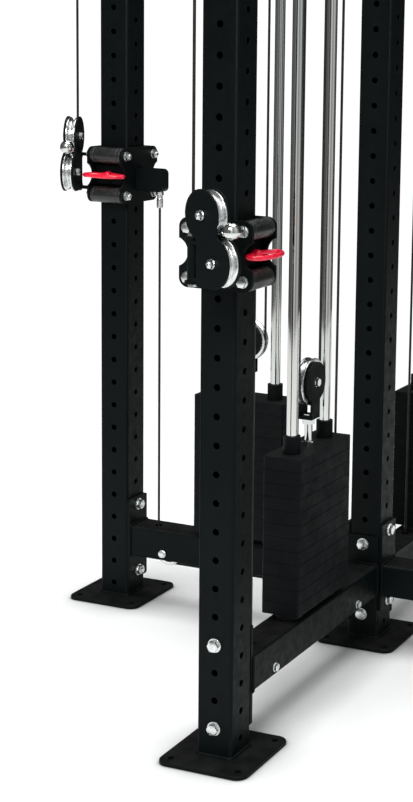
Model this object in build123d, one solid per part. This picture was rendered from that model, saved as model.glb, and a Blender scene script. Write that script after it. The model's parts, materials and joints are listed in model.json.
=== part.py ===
from build123d import *
import math
import os

# Cable crossover machine: a centre upright with four equal arms at right angles. Each arm has its own
# end upright, weight stack, cable run and height-adjustable trolley with a swivelling pulley head.
# Origin: the centre upright's axis on the floor. Millimetres, +Z up.
#
# Every arm is drawn once, in the arm frame: origin on the end upright's axis at floor level, +Y towards
# the centre upright, +X towards the side that carries the pull pin.

# ---- driving dimensions: frame ------------------------------------------------------------------
REACH = 720.0  # end upright axis to centre upright axis
TUBE = 80.0  # square tube of the uprights and beams
WALL = 3.0
TUBE_CORNER = 6.0
UPRIGHT_TOP = 2260.0
CAP_T = 4.0
HOLE_PITCH = 60.0
HOLE_R = 7.5
FIRST_HOLE_Y_FACES = 70.0
FIRST_HOLE_X_FACES = 40.0
HOLES_PER_FACE = 37

FOOT = 204.0  # square base plate under each upright
FOOT_T = 8.0
FOOT_CORNER = 24.0
FOOT_CHAMFER = 1.5
FOOT_HOLE_PITCH = 156.0
FOOT_HOLE_R = 7.0
WELD = 5.0

BASE_BEAM_Z = 160.0
TOP_BEAM_Z = 2140.0
FLANGE_T = 8.0
FLANGE_H = 220.0
FLANGE_CORNER = 5.0
FLANGE_BOLT_PITCH = 180.0
SIDE_FACE_SHIFT = 30.0  # the centre upright's X faces have their holes this much off its Y faces

CHANNEL_TOP = UPRIGHT_TOP + 110.0  # the channel over each arm that carries the top pulleys
CHANNEL_OUT = 19.0
CHANNEL_T = 5.0
CHANNEL_CORNER = 3.0
LUG_Y = 30.0
LUG_T = 5.0

# ---- driving dimensions: bolts and pulleys ------------------------------------------------------
# shank radius, hexagon across flats, head height, washer radius, washer thickness
FRAME_BOLT = (7.0, 22.0, 9.0, 15.0, 2.5)
ROLLER_BOLT = (6.0, 19.0, 8.0, 12.0, 2.0)
PULLEY_BOLT = (5.0, 16.0, 6.0, 10.0, 1.5)
BOLT_END = 3.0  # how far a bolt stands out of its nut
AXLE_R = PULLEY_BOLT[0]
RUNNING = 0.05  # radial clearance of a running fit

CABLE_R = 3.0
PULLEY_W = 22.0
PULLEY_R = 47.5
PULLEY_LINE_R = 44.0  # radius of the cable's centreline on a pulley
BASE_PULLEY_R = 39.5
BASE_PULLEY_LINE_R = 36.0
STACK_PULLEY_R = 53.5
STACK_PULLEY_LINE_R = 50.0

OUTER_LINE_Y = -134.0  # the vertical cable outside the end upright, and the swivel's axis
ANCHOR_LINE_Y = 110.0  # the vertical cable from the base up to the trolley
STACK_Y = 366.0
FAR_LINE_Y = STACK_Y + STACK_PULLEY_LINE_R + 2 * PULLEY_LINE_R
TOP_PULLEY_Z = UPRIGHT_TOP + 55.0
BASE_PULLEY_Z = 139.0
CROSS_BOLT_Y = 560.0  # a through bolt near the centre end of each base beam
CABLE_HOLE_R = 10.0  # where a cable enters the top of a base beam
SLOT_X = 14.0  # half width of the beams' pulley and cable slots

# ---- driving dimensions: weight stack -----------------------------------------------------------
PLATE_X = 92.0
PLATE_Y = 252.0
PLATE_T = 29.6
PLATE_PITCH = 30.0
PLATE_CORNER = 5.0
PLATE_CHAMFER = 0.6
PLATE_COUNT = 12
LIFTED = 6  # plates above the selector pin, counting its own
STACK_BOTTOM = 216.0
ROD_R = 12.5
ROD_SPREAD = 160.0
COLLAR_R = 19.0
COLLAR_H = 40.0
BUMPER_R = 30.0
STEM_R = 9.0
STEM_FOOT_R = 15.0
SELECTOR_R = 4.75
SELECTOR_KNOB_R = 11.0
HALF_LOOP_Z = 722.0  # axle of the stack's pulley
YOKE_RISE = 62.0  # top of the stack to the underside of the yoke
YOKE_IN = 13.5
YOKE_T = 4.0
YOKE_BASE_T = 6.0
YOKE_Y = 20.0
YOKE_DISC_R = 46.0

# ---- driving dimensions: trolley and pulley head ------------------------------------------------
ARMS = {"front": 0.0, "left": -90.0, "rear": 180.0, "right": 90.0}
# trolley height, and the angle of the pulley head from straight outwards towards the pull pin's side
TROLLEY_Z = {"front": 1060.0, "left": 1120.0, "rear": 1120.0, "right": 1060.0}
HEAD_ANGLE = {"front": 68.0, "left": 112.0, "rear": 68.0, "right": 112.0}

ROLLER_X = 61.5
ROLLER_Z = 50.0
ROLLER_R = 20.5
ROLLER_END = 44.0
TROLLEY_GAP = 44.5  # upright axis to the inner face of a trolley plate
TROLLEY_T = 6.0
TROLLEY_CORNER = 20.0
WAIST_R = 30.0  # hollow in each side of a trolley plate
WAIST_X = 92.0
STRAP_X = 44.0
STRAP_Z = 24.0
PIN_R = 6.0
PIN_BOSS_R = 14.0
PIN_BOSS_T = 3.0
RING_X = 83.0  # the pull ring is an oval
RING_SEMI_X = 24.0
RING_SEMI_Y = 54.0
RING_WIRE_R = 5.2

EAR_LOW = 40.0
EAR_HIGH = 46.0
EAR_X = 14.0
EAR_R = 16.0
EAR_BACK_T = 8.0
HOOK_X = 16.0
HOOK_WALL = 4.0
HOOK_END = 15.5  # beyond the anchor line
HOOK_LOW = -40.0
HOOK_HIGH = 18.0
HOOK_FLOOR = 6.0
HOOK_CORNER = 12.0
ANCHOR_R = 7.0
ANCHOR_NUT = 17.0
ANCHOR_NUT_H = 9.0
ANCHOR_LOW = -82.0

UPPER_PULLEY = (44.0, 92.0)  # out from the swivel axis, and up from the trolley's centre
LOWER_PULLEY = (78.0, 3.0)
BALL = (117.0, 68.0)
BALL_R = 17.0
BALL_NECK_R = 6.0
CHEEK_R = 49.5
CHEEK_WAIST = 62.0
CHEEK_T = 4.0
CHEEK_IN = 11.5
CHEEK_BACK = (30.0, 60.0, -46.0, 40.0)  # straight back edge: reach from and to, rise from and to
CHEEK_FILLET = 12.0
BARREL_R = 11.0
WEB_T = 6.0
WEB_REACH = 38.0
JOURNAL_R = 8.0
JOURNAL_END = 6.5  # beyond the ears
SWIVEL_NUT = 19.0
SWIVEL_NUT_H = 5.5

# ---- derived positions --------------------------------------------------------------------------
half = TUBE / 2
bore = half - WALL
stack_top = STACK_BOTTOM + PLATE_COUNT * PLATE_PITCH
top_plate_face = stack_top - PLATE_PITCH + PLATE_T
yoke_z = stack_top + YOKE_RISE
rod_ys = (STACK_Y - ROD_SPREAD / 2, STACK_Y + ROD_SPREAD / 2)
near_strand_y = STACK_Y - STACK_PULLEY_LINE_R
far_strand_y = STACK_Y + STACK_PULLEY_LINE_R
outer_top_y = OUTER_LINE_Y + PULLEY_LINE_R
near_top_y = near_strand_y - PULLEY_LINE_R
far_top_y = far_strand_y + PULLEY_LINE_R
base_outer_y = ANCHOR_LINE_Y + BASE_PULLEY_LINE_R
base_inner_y = FAR_LINE_Y - BASE_PULLEY_LINE_R


# ---- helpers ------------------------------------------------------------------------------------
def block(x0, x1, y0, y1, z0, z1):
    """A box between two corners."""
    size = (x1 - x0, y1 - y0, z1 - z0)
    return Pos((x0 + x1) / 2, (y0 + y1) / 2, (z0 + z1) / 2) * Box(*size)


def rod_z(x, y, z0, z1, radius):
    """A cylinder along Z."""
    return Pos(x, y, (z0 + z1) / 2) * Cylinder(radius, z1 - z0)


def rod_y(x, z, y0, y1, radius):
    """A cylinder along Y."""
    return Pos(x, (y0 + y1) / 2, z) * Rot(90, 0, 0) * Cylinder(radius, y1 - y0)


def rod_x(y, z, x0, x1, radius):
    """A cylinder along X."""
    return Pos((x0 + x1) / 2, y, z) * Rot(0, 90, 0) * Cylinder(radius, x1 - x0)


def hexagon_z(across_flats, z0, height):
    """A hexagonal prism along Z."""
    return Pos(0, 0, z0) * extrude(RegularPolygon(across_flats / math.sqrt(3), 6), height)


def bolt_set(kind, grip):
    """A bolt and its nut, clamping what lies between z=0 and z=-grip; the head is above."""
    radius, across_flats, head_h, washer_r, washer_t = kind
    crown = Cone(across_flats * 0.78, across_flats * 0.43, head_h * 2.2)
    head = hexagon_z(across_flats, washer_t, head_h) & (Pos(0, 0, washer_t + head_h * 0.9) * crown)
    end = -grip - washer_t - head_h - BOLT_END
    bolt = head + rod_z(0, 0, 0, washer_t, washer_r) + rod_z(0, 0, end, washer_t, radius)
    nut = hexagon_z(across_flats, -washer_t - head_h, head_h) + rod_z(0, 0, -washer_t, 0, washer_r)
    nut -= rod_z(0, 0, -washer_t - head_h, 0, radius + RUNNING)
    return [bolt, Pos(0, 0, -grip) * nut]


def bolt_along_x(kind, x, y, z, grip):
    """A bolt and nut along X, with the head's joint face at x."""
    return [Pos(x, y, z) * Rot(0, 90, 0) * piece for piece in bolt_set(kind, grip)]


def bolt_along_y(kind, x, y, z, grip):
    """A bolt and nut along Y, with the head on the -Y side and its joint face at y."""
    return [Pos(x, y, z) * Rot(90, 0, 0) * piece for piece in bolt_set(kind, grip)]


def pulley(outer_r, line_r):
    """A grooved pulley on the X axis, with a raised hub and a dished web on each side."""
    root = line_r - CABLE_R - 0.5
    w = PULLEY_W / 2
    web = w - 3
    inner = AXLE_R + RUNNING
    hub = inner + 7
    rim = outer_r - (12 if outer_r > 40 else 9)
    lip, shelf = 6.5, 4
    right_side = [(hub, w), (hub + 1.5, web), (rim - 2, web), (rim, w), (outer_r - 1, w), (outer_r, w - 1)]
    right_side += [(outer_r, lip), (root, shelf)]
    outline = [(inner, w)] + right_side + [(r, -x) for r, x in reversed(right_side)] + [(inner, -w)]
    section = make_face(Polyline(*[(r, 0, x) for r, x in outline], close=True))
    return Rot(0, 90, 0) * revolve(section, Axis.Z)


def line_yz(pieces):
    """A cable in the YZ plane: straight pieces and pulley arcs, each (kind, ...) in order."""
    edges = []
    for kind, *values in pieces:
        if kind == "straight":
            (y0, z0), (y1, z1) = values
            edges.append(Line((0, y0, z0), (0, y1, z1)))
        else:
            (cy, cz), radius, a0, a1 = values
            marks = [math.radians(a) for a in (a0, (a0 + a1) / 2, a1)]
            spots = [(0, cy + radius * math.cos(a), cz + radius * math.sin(a)) for a in marks]
            edges.append(ThreePointArc(*spots))
    path = Wire(edges)
    start = Plane(path @ 0, z_dir=path % 0)
    return sweep(start * Circle(CABLE_R), path=path)


def on_arm(shape, arm):
    """Place a shape drawn in the arm frame."""
    return Rot(0, 0, ARMS[arm]) * Pos(0, -REACH, 0) * shape


def on_every_arm(shapes):
    return [on_arm(shape, arm) for arm in ARMS for shape in shapes]


def write(node, shapes):
    """Write one node: its pieces stay separate solids."""
    pieces = [solid for shape in shapes for solid in shape.solids()]
    export_step(Compound(children=pieces) if len(pieces) > 1 else pieces[0], f"parts/{node}.step")


# ---- frame --------------------------------------------------------------------------------------
def square_tube(length):
    """Hollow square tube standing on z=0."""
    outside = RectangleRounded(TUBE, TUBE, TUBE_CORNER)
    inside = RectangleRounded(2 * bore, 2 * bore, TUBE_CORNER - WALL)
    return extrude(outside - inside, length)


def upright():
    tube = Pos(0, 0, FOOT_T) * square_tube(UPRIGHT_TOP - FOOT_T - CAP_T)
    cap = Pos(0, 0, UPRIGHT_TOP - CAP_T) * extrude(RectangleRounded(TUBE, TUBE, TUBE_CORNER), CAP_T)
    plate = extrude(RectangleRounded(FOOT, FOOT, FOOT_CORNER), FOOT_T)
    plate = chamfer(plate.edges().group_by(Axis.Z)[-1], FOOT_CHAMFER)
    weld_foot = RectangleRounded(TUBE + 2 * WELD, TUBE + 2 * WELD, TUBE_CORNER + WELD)
    weld_head = RectangleRounded(TUBE + 0.2, TUBE + 0.2, TUBE_CORNER)
    weld = loft([Pos(0, 0, FOOT_T) * weld_foot, Pos(0, 0, FOOT_T + WELD) * weld_head])
    weld -= block(-bore, bore, -bore, bore, 0, FOOT_T + 2 * WELD)
    cuts = []
    for k in range(HOLES_PER_FACE):
        cuts.append(rod_y(0, FIRST_HOLE_Y_FACES + k * HOLE_PITCH, -half - 1, half + 1, HOLE_R))
        cuts.append(rod_x(0, FIRST_HOLE_X_FACES + k * HOLE_PITCH, -half - 1, half + 1, HOLE_R))
    spread = FOOT_HOLE_PITCH / 2
    for x in (-spread, spread):
        for y in (-spread, spread):
            cuts.append(rod_z(x, y, -1, FOOT_T + 1, FOOT_HOLE_R))
    return (tube + cap + plate + weld) - cuts


def flange(y0, centre_z):
    """End flange of a beam, with bolt holes above and below the tube."""
    outline = RectangleRounded(TUBE, FLANGE_H, FLANGE_CORNER)
    plate = Pos(0, y0, centre_z) * Rot(-90, 0, 0) * extrude(outline, FLANGE_T)
    for z in (-FLANGE_BOLT_PITCH / 2, FLANGE_BOLT_PITCH / 2):
        plate -= rod_y(0, centre_z + z, y0 - 1, y0 + FLANGE_T + 1, HOLE_R)
    return plate


def beam(centre_z, centre_end_shift):
    """Square beam between an end upright and the centre upright, with its two end flanges."""
    y0, y1 = half + FLANGE_T, REACH - half - FLANGE_T
    body = Pos(0, y0, centre_z) * Rot(-90, 0, 0) * square_tube(y1 - y0)
    return body + flange(half, centre_z) + flange(y1, centre_z + centre_end_shift)


def base_beam(arm):
    """Base beam with its cable holes, pulley slots and cross holes, and the pin of its inner pulley."""
    body = beam(BASE_BEAM_Z, SIDE_FACE_SHIFT if arm in ("left", "right") else 0.0)
    top = BASE_BEAM_Z + half
    for y in (ANCHOR_LINE_Y, FAR_LINE_Y):
        body -= rod_z(0, y, top - WALL - 1, top + 1, CABLE_HOLE_R)
    bottom = BASE_BEAM_Z - half
    margin = BASE_PULLEY_LINE_R + 6
    for y in (base_outer_y, base_inner_y):
        body -= block(-SLOT_X, SLOT_X, y - margin, y + margin, bottom - 1, bottom + WALL + 1)
    for y in (base_outer_y, base_inner_y, CROSS_BOLT_Y):
        body -= rod_x(y, BASE_PULLEY_Z, -half - 1, half + 1, AXLE_R + RUNNING)
    return [body, rod_x(base_inner_y, BASE_PULLEY_Z, -half, half, AXLE_R)]


def top_beam(arm):
    """Top beam with the slot that the stack's cables pass through."""
    body = beam(TOP_BEAM_Z, -SIDE_FACE_SHIFT if arm in ("left", "right") else 0.0)
    y0, y1 = near_strand_y - 10, FAR_LINE_Y + 10
    return body - block(-SLOT_X, SLOT_X, y0, y1, TOP_BEAM_Z - half - 1, TOP_BEAM_Z + half + 1)


def frame_bolts():
    """Bolts and nuts of the frame, and the axle bolts of the pulleys it carries."""
    on_arms = []
    for beam_z in (BASE_BEAM_Z, TOP_BEAM_Z):
        for z in (beam_z - FLANGE_BOLT_PITCH / 2, beam_z + FLANGE_BOLT_PITCH / 2):
            on_arms += bolt_along_y(FRAME_BOLT, 0, -half, z, TUBE + FLANGE_T)
    for y in (base_outer_y, CROSS_BOLT_Y):
        on_arms += bolt_along_x(PULLEY_BOLT, half, y, BASE_PULLEY_Z, TUBE)
    for y in (outer_top_y, near_top_y, far_top_y):
        on_arms += bolt_along_x(PULLEY_BOLT, CHANNEL_OUT, y, TOP_PULLEY_Z, 2 * CHANNEL_OUT)
    at_centre = []
    for beam_z, shift in ((BASE_BEAM_Z, SIDE_FACE_SHIFT), (TOP_BEAM_Z, -SIDE_FACE_SHIFT)):
        for z in (beam_z - FLANGE_BOLT_PITCH / 2, beam_z + FLANGE_BOLT_PITCH / 2):
            at_centre += bolt_along_y(FRAME_BOLT, 0, -half - FLANGE_T, z, TUBE + 2 * FLANGE_T)
            at_centre += bolt_along_x(FRAME_BOLT, half + FLANGE_T, 0, z + shift, TUBE + 2 * FLANGE_T)
    return on_every_arm(on_arms) + at_centre


def top_channel():
    """Inverted channel on the uprights' caps, which carries the top pulleys."""
    y0, y1 = OUTER_LINE_Y - 14, REACH - 22
    shell = block(-CHANNEL_OUT, CHANNEL_OUT, y0, y1, UPRIGHT_TOP, CHANNEL_TOP)
    inner = CHANNEL_OUT - CHANNEL_T
    shell -= block(-inner, inner, y0 - 1, y1 + 1, UPRIGHT_TOP - 1, CHANNEL_TOP - CHANNEL_T)
    for side in (-1, 1):
        x0, x1 = sorted((side * (CHANNEL_OUT - 1), side * bore))
        shell += block(x0, x1, -LUG_Y, LUG_Y, UPRIGHT_TOP, UPRIGHT_TOP + LUG_T)
    for y in (outer_top_y, near_top_y, far_top_y):
        shell -= rod_x(y, TOP_PULLEY_Z, -CHANNEL_OUT - 1, CHANNEL_OUT + 1, AXLE_R + RUNNING)
    ends = [e for e in shell.edges().group_by(Axis.Z)[-1] if e.length < TUBE]
    return fillet(ends, CHANNEL_CORNER)


def base_pulleys():
    wheel = pulley(BASE_PULLEY_R, BASE_PULLEY_LINE_R)
    return [Pos(0, y, BASE_PULLEY_Z) * wheel for y in (base_outer_y, base_inner_y)]


def top_pulleys():
    wheel = pulley(PULLEY_R, PULLEY_LINE_R)
    return [Pos(0, y, TOP_PULLEY_Z) * wheel for y in (outer_top_y, near_top_y, far_top_y)]


# ---- weight stack -------------------------------------------------------------------------------
def guide_rods():
    bottom, top = BASE_BEAM_Z + half, TOP_BEAM_Z - half
    return [chamfer(rod_z(0, y, bottom, top, ROD_R).edges(), 0.6) for y in rod_ys]


def stack_bumpers():
    """Rubber rings on the base beam that the lowest plate rests on."""
    found = []
    for y in rod_ys:
        ring = rod_z(0, y, BASE_BEAM_Z + half, STACK_BOTTOM, BUMPER_R)
        ring -= rod_z(0, y, BASE_BEAM_Z, STACK_BOTTOM + 1, ROD_R + 1)
        found.append(fillet(ring.edges().group_by(Axis.Z)[-1], 3))
    return found


def selector_z(number):
    """Height of a plate's selector hole."""
    return STACK_BOTTOM + number * PLATE_PITCH + PLATE_T / 2


def weight_plate(number):
    """A plate by its number from the bottom; the top one has collars that run on the guide rods."""
    is_top = number == PLATE_COUNT - 1
    z0 = STACK_BOTTOM + number * PLATE_PITCH
    z1 = z0 + PLATE_T
    plate = Pos(0, STACK_Y, z0) * extrude(RectangleRounded(PLATE_X, PLATE_Y, PLATE_CORNER), PLATE_T)
    rims = plate.edges().group_by(Axis.Z)
    plate = chamfer(rims[0] + rims[-1], PLATE_CHAMFER)
    if is_top:
        for y in rod_ys:
            plate += rod_z(0, y, z1, z1 + COLLAR_H, COLLAR_R)
    rod_hole = ROD_R + (RUNNING if is_top else 1.5)
    for y in rod_ys:
        plate -= rod_z(0, y, z0 - 1, z1 + COLLAR_H + 1, rod_hole)
    plate -= rod_z(0, STACK_Y, z0 - 1, z1 + 1, STEM_R + 1)
    if not is_top:
        plate -= rod_x(STACK_Y, selector_z(number), -PLATE_X, 0, SELECTOR_R + 0.5)
    return plate


def stack_yoke():
    """The fork that carries the stack's pulley, held on the stem between two nuts."""
    front, back = STACK_Y - YOKE_Y, STACK_Y + YOKE_Y
    outer = YOKE_IN + YOKE_T
    yoke = block(-outer, outer, front, back, yoke_z, yoke_z + YOKE_BASE_T)
    yoke -= rod_z(0, STACK_Y, yoke_z - 1, yoke_z + YOKE_BASE_T + 1, STEM_R + RUNNING)
    for x in (-outer, YOKE_IN):
        yoke += block(x, x + YOKE_T, front, back, yoke_z, HALF_LOOP_Z)
        yoke += rod_x(STACK_Y, HALF_LOOP_Z, x, x + YOKE_T, YOKE_DISC_R)
    return yoke - rod_x(STACK_Y, HALF_LOOP_Z, -outer - 1, outer + 1, AXLE_R + RUNNING)


def lifted_stack():
    return [weight_plate(number) for number in range(PLATE_COUNT - LIFTED, PLATE_COUNT)] + [stack_yoke()]


def resting_plates():
    return [weight_plate(number) for number in range(PLATE_COUNT - LIFTED)]


def stack_stem():
    """Chromed stem with its cross holes and nuts, the selector pin and the pulley's axle bolt."""
    lower_nut_z, lower_nut_h = yoke_z - 12, 11
    upper_nut_z, upper_nut_h = yoke_z + YOKE_BASE_T, 4
    stem = rod_z(0, 0, STACK_BOTTOM + 6, upper_nut_z + upper_nut_h, STEM_R)
    for number in range(PLATE_COUNT - 1):
        stem -= rod_x(0, selector_z(number), -STEM_R - 1, STEM_R + 1, SELECTOR_R + 0.4)
    stem += hexagon_z(27, lower_nut_z, lower_nut_h) + hexagon_z(22, upper_nut_z, upper_nut_h)
    stem += rod_z(0, 0, top_plate_face, stack_top + 10, STEM_FOOT_R)
    pin_z = selector_z(PLATE_COUNT - LIFTED)
    face = -PLATE_X / 2
    selector = rod_x(STACK_Y, pin_z, face - 14, STEM_R - 1, SELECTOR_R)
    selector += rod_x(STACK_Y, pin_z, face - 34, face - 12, SELECTOR_KNOB_R)
    selector += rod_x(STACK_Y, pin_z, face - 3, face - 1, SELECTOR_KNOB_R - 2)
    outer = YOKE_IN + YOKE_T
    axle = bolt_along_x(PULLEY_BOLT, outer, STACK_Y, HALF_LOOP_Z, 2 * outer)
    return [Pos(0, STACK_Y, 0) * stem, selector] + axle


def stack_pulley():
    return Pos(0, STACK_Y, HALF_LOOP_Z) * pulley(STACK_PULLEY_R, STACK_PULLEY_LINE_R)


# ---- cables -------------------------------------------------------------------------------------
def frame_cables(arm):
    """The cable from the pulley head over the top to the stack, and from the stack round to the trolley."""
    head_z = TROLLEY_Z[arm] + UPPER_PULLEY[1]
    over_z = TOP_PULLEY_Z + PULLEY_LINE_R
    first = line_yz([
        ("straight", (OUTER_LINE_Y, head_z), (OUTER_LINE_Y, TOP_PULLEY_Z)),
        ("arc", (outer_top_y, TOP_PULLEY_Z), PULLEY_LINE_R, 180, 90),
        ("straight", (outer_top_y, over_z), (near_top_y, over_z)),
        ("arc", (near_top_y, TOP_PULLEY_Z), PULLEY_LINE_R, 90, 0),
    ])
    under_z = BASE_PULLEY_Z - BASE_PULLEY_LINE_R
    second = line_yz([
        ("arc", (far_top_y, TOP_PULLEY_Z), PULLEY_LINE_R, 180, 0),
        ("straight", (FAR_LINE_Y, TOP_PULLEY_Z), (FAR_LINE_Y, BASE_PULLEY_Z)),
        ("arc", (base_inner_y, BASE_PULLEY_Z), BASE_PULLEY_LINE_R, 0, -90),
        ("straight", (base_inner_y, under_z), (base_outer_y, under_z)),
        ("arc", (base_outer_y, BASE_PULLEY_Z), BASE_PULLEY_LINE_R, 270, 180),
        ("straight", (ANCHOR_LINE_Y, BASE_PULLEY_Z), (ANCHOR_LINE_Y, TROLLEY_Z[arm] + ANCHOR_LOW)),
    ])
    return [on_arm(first, arm), on_arm(second, arm)]


def stack_line():
    """The loop of cable that hangs from the top pulleys and carries the stack's pulley."""
    return line_yz([
        ("straight", (near_strand_y, TOP_PULLEY_Z), (near_strand_y, HALF_LOOP_Z)),
        ("arc", (STACK_Y, HALF_LOOP_Z), STACK_PULLEY_LINE_R, 180, 360),
        ("straight", (far_strand_y, HALF_LOOP_Z), (far_strand_y, TOP_PULLEY_Z)),
    ])


# ---- trolley (drawn about its own centre height) ------------------------------------------------
roller_spots = [(x, z) for x in (-ROLLER_X, ROLLER_X) for z in (-ROLLER_Z, ROLLER_Z)]
near_face = -TROLLEY_GAP - TROLLEY_T
far_face = TROLLEY_GAP + TROLLEY_T


def trolley_plate(y0):
    profile = RectangleRounded(2 * (ROLLER_X + ROLLER_R), 2 * (ROLLER_Z + ROLLER_R), TROLLEY_CORNER)
    for x in (-WAIST_X, WAIST_X):
        profile -= Pos(x, 0) * Circle(WAIST_R)
    plate = Pos(0, y0, 0) * Rot(-90, 0, 0) * extrude(profile, TROLLEY_T)
    for x, z in roller_spots:
        plate -= rod_y(x, z, y0 - 1, y0 + TROLLEY_T + 1, ROLLER_BOLT[0] + RUNNING)
    return plate


def anchor_hook():
    """Open-topped bracket on the trolley's inner plate, which the anchored cable pulls down on."""
    end = ANCHOR_LINE_Y + HOOK_END
    hook = block(-HOOK_X, HOOK_X, far_face - 1, end, HOOK_LOW, HOOK_HIGH)
    hook = fillet(hook.edges().filter_by(Axis.X).sort_by(Axis.Y)[-2:], HOOK_CORNER)
    inner = HOOK_X - HOOK_WALL
    hook -= block(-inner, inner, far_face, end - HOOK_WALL, HOOK_LOW + HOOK_FLOOR, HOOK_HIGH + 1)
    return hook - rod_z(0, ANCHOR_LINE_Y, HOOK_LOW - 1, HOOK_LOW + HOOK_FLOOR + 1, ANCHOR_R + RUNNING)


def trolley_frame():
    """Two plates joined by side straps, with the swivel's ears, the cable anchor and the pin's boss."""
    body = trolley_plate(near_face) + trolley_plate(TROLLEY_GAP) + anchor_hook()
    strap_out = STRAP_X + TROLLEY_T
    for side in (-1, 1):
        x0, x1 = sorted((side * STRAP_X, side * strap_out))
        body += block(x0, x1, near_face, far_face, -STRAP_Z, STRAP_Z)
    body += rod_x(0, 0, strap_out, strap_out + PIN_BOSS_T, PIN_BOSS_R)
    body += block(-EAR_R, EAR_R, near_face - EAR_BACK_T, near_face, -EAR_HIGH, EAR_HIGH)
    for z0, z1 in ((EAR_LOW, EAR_HIGH), (-EAR_HIGH, -EAR_LOW)):
        body += block(-EAR_X, EAR_X, OUTER_LINE_Y, near_face, z0, z1)
        body += rod_z(0, OUTER_LINE_Y, z0, z1, EAR_R)
    body -= rod_x(0, 0, STRAP_X - 1, strap_out + PIN_BOSS_T + 1, PIN_R + RUNNING)
    return body - rod_z(0, OUTER_LINE_Y, -EAR_HIGH - 1, EAR_HIGH + 1, JOURNAL_R + RUNNING)


def guide_rollers():
    found = []
    for x, z in roller_spots:
        roller = chamfer(rod_y(x, z, -ROLLER_END, ROLLER_END, ROLLER_R).edges(), 1.5)
        found.append(roller - rod_y(x, z, -ROLLER_END - 1, ROLLER_END + 1, ROLLER_BOLT[0] + RUNNING))
    return found


def trolley_bolts():
    """The rollers' axle bolts and nuts, and the anchored cable's threaded end fitting."""
    found = []
    for x, z in roller_spots:
        found += bolt_along_y(ROLLER_BOLT, x, near_face, z, far_face - near_face)
    hook_floor = HOOK_LOW + HOOK_FLOOR
    fitting = rod_z(0, 0, ANCHOR_LOW + 18, hook_floor + 12, ANCHOR_R)
    fitting += rod_z(0, 0, ANCHOR_LOW, ANCHOR_LOW + 26, ANCHOR_R + 1)
    fitting += hexagon_z(ANCHOR_NUT, hook_floor, ANCHOR_NUT_H)
    fitting += hexagon_z(ANCHOR_NUT, HOOK_LOW - ANCHOR_NUT_H, ANCHOR_NUT_H)
    fitting -= rod_z(0, 0, ANCHOR_LOW - 1, hook_floor + 13, CABLE_R + 0.5)
    return found + [Pos(0, ANCHOR_LINE_Y, 0) * fitting]


def pull_pin():
    """Locking pin and its ring handle, as one moving piece."""
    pin = chamfer(rod_x(0, 0, 27, 66, PIN_R).edges().sort_by(Axis.X)[0], 2)
    hub = fillet(rod_x(0, 0, 58, 74, 10).edges(), 2)
    oval = Pos(RING_X, 0, 0) * Wire(Ellipse(RING_SEMI_X, RING_SEMI_Y).edges())
    start = Plane(oval @ 0, z_dir=oval % 0)
    return pin + hub + sweep(start * Circle(RING_WIRE_R), path=oval)


# ---- pulley head (drawn pointing straight outwards, then turned about the swivel axis) ----------
def head_spot(reach_and_rise):
    """Arm-frame Y and Z of a spot on the pulley head, given out from the axis and up."""
    reach, rise = reach_and_rise
    return OUTER_LINE_Y - reach, rise


def cheek_profile():
    """Outline of a cheek plate, drawn as reach by rise."""
    upper, lower = Vector(*UPPER_PULLEY, 0), Vector(*LOWER_PULLEY, 0)
    middle = (upper + lower) * 0.5
    along = lower - upper
    tilt = math.degrees(math.atan2(along.Y, along.X))
    waist = Pos(middle.X, middle.Y) * Rot(0, 0, tilt) * Rectangle(along.length * 0.8, CHEEK_WAIST)
    profile = Pos(*UPPER_PULLEY) * Circle(CHEEK_R) + Pos(*LOWER_PULLEY) * Circle(CHEEK_R) + waist
    corners = [v for v in profile.vertices() if (Vector(v.X, v.Y, 0) - middle).length < 45]
    profile = fillet(corners, CHEEK_FILLET)
    reach0, reach1, rise0, rise1 = CHEEK_BACK
    back = Pos((reach0 + reach1) / 2, (rise0 + rise1) / 2) * Rectangle(reach1 - reach0, rise1 - rise0)
    return profile + back


def pulley_head():
    """Two cheek plates, joined by two webs to the hollow barrel that swivels between the ears."""
    profile = cheek_profile()
    body = rod_z(0, OUTER_LINE_Y, -EAR_LOW + 0.5, EAR_LOW - 0.5, BARREL_R)
    body += rod_z(0, OUTER_LINE_Y, -EAR_HIGH - JOURNAL_END, EAR_HIGH + JOURNAL_END, JOURNAL_R)
    for x in (CHEEK_IN + CHEEK_T, -CHEEK_IN):
        facing = Plane(origin=(x, OUTER_LINE_Y, 0), x_dir=(0, -1, 0), z_dir=(-1, 0, 0))
        body += facing * extrude(profile, CHEEK_T)
    x = CHEEK_IN + CHEEK_T / 4
    for z0 in (EAR_LOW - 0.5 - WEB_T, -EAR_LOW + 0.5):
        body += block(-x, x, OUTER_LINE_Y - WEB_REACH, OUTER_LINE_Y, z0, z0 + WEB_T)
    for y, z in (head_spot(UPPER_PULLEY), head_spot(LOWER_PULLEY)):
        body -= rod_x(y, z, -CHEEK_IN - CHEEK_T - 1, CHEEK_IN + CHEEK_T + 1, AXLE_R + RUNNING)
    return body - rod_z(0, OUTER_LINE_Y, -PULLEY_R * 2, PULLEY_R * 2, CABLE_R + 1.5)


def head_bolts():
    """The axle bolts of the head's pulleys, and the nuts on the ends of the swivel's journal."""
    found = []
    outer = CHEEK_IN + CHEEK_T
    for y, z in (head_spot(UPPER_PULLEY), head_spot(LOWER_PULLEY)):
        found += bolt_along_x(PULLEY_BOLT, outer, y, z, 2 * outer)
    nut = hexagon_z(SWIVEL_NUT, 0, SWIVEL_NUT_H) - rod_z(0, 0, -1, SWIVEL_NUT_H + 1, JOURNAL_R + RUNNING)
    for z in (EAR_HIGH + 0.3, -EAR_HIGH - 0.3 - SWIVEL_NUT_H):
        found.append(Pos(0, OUTER_LINE_Y, z) * nut)
    return found


def head_pulley(spot):
    y, z = head_spot(spot)
    return Pos(0, y, z) * pulley(PULLEY_R, PULLEY_LINE_R)


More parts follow.
